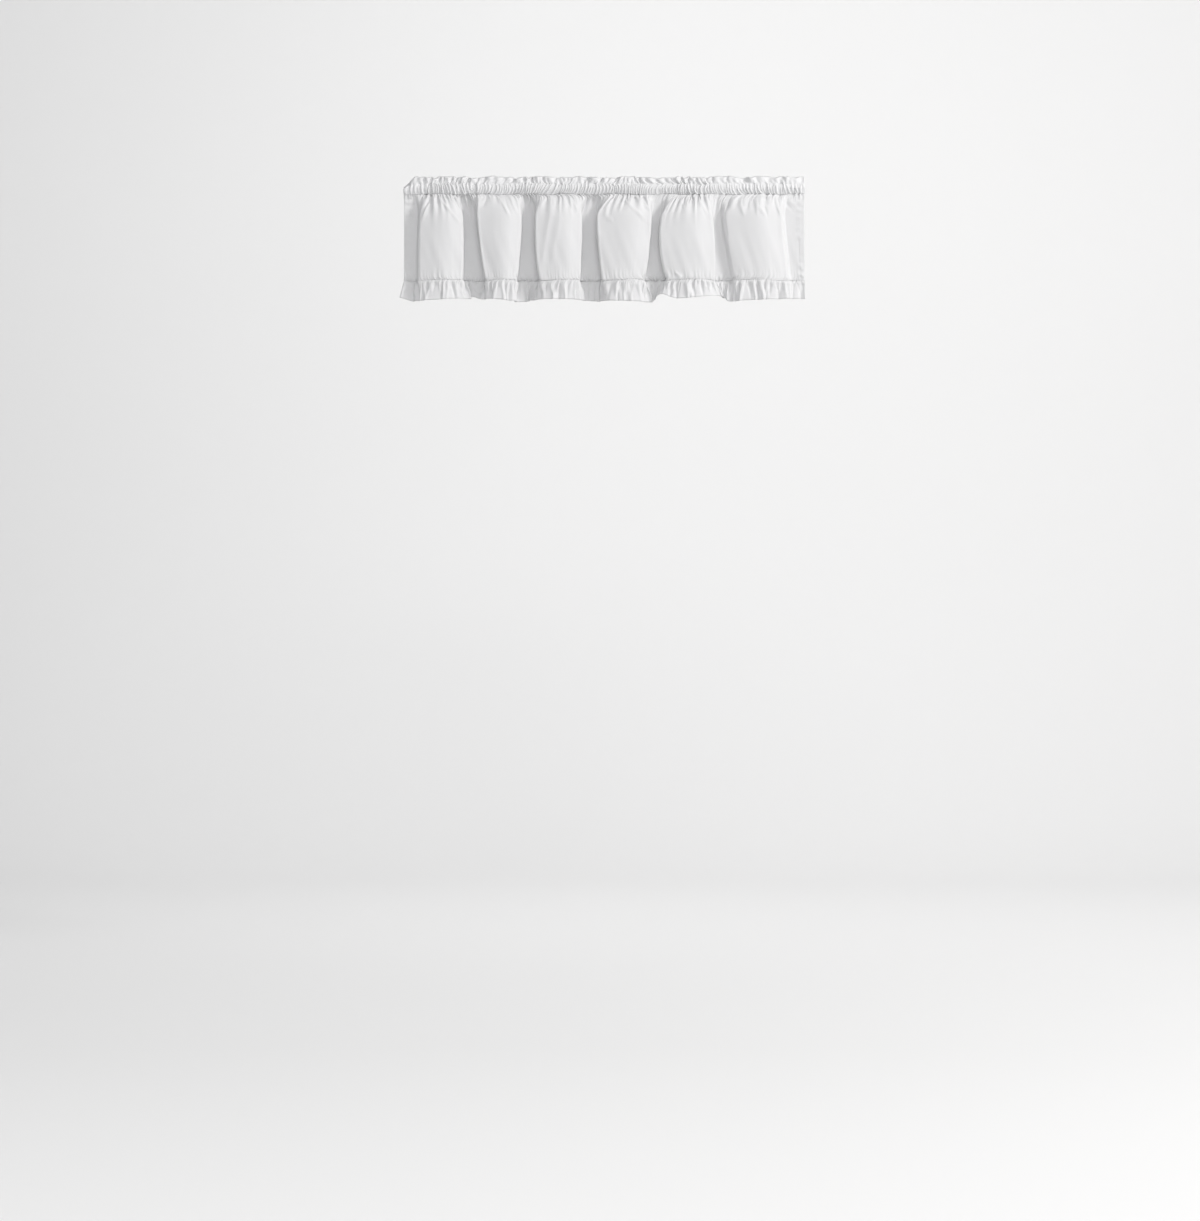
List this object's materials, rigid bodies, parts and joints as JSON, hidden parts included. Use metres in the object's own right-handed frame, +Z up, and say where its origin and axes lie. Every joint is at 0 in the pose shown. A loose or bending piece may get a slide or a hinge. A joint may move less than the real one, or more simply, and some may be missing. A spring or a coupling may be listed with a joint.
{
  "type": "window valance",
  "caption": "White gathered valance on a rod pocket: a frilled heading, uneven billowing folds with flat recesses between them, and a gathered ruffle sewn along the lower edge.",
  "frame": {"origin": "middle of the rod pocket: on the rod's centre line, half way along the valance", "axes": "+X along the rod, to the right for someone in the room; +Z up; -Y into the room, +Y to the window"},
  "size_m": [1.0733, 0.054, 0.3369],
  "materials": {
    "heading_cloth": "white plain-weave cloth, crisp, matt",
    "panel_cloth": "white plain-weave cloth, crisp, matt",
    "ruffle_cloth": "white plain-weave cloth, crisp, matt"
  },
  "bodies": {
    "root": {"heading": "heading_cloth", "panel": "panel_cloth", "ruffle": "ruffle_cloth"}
  },
  "joints": []
}
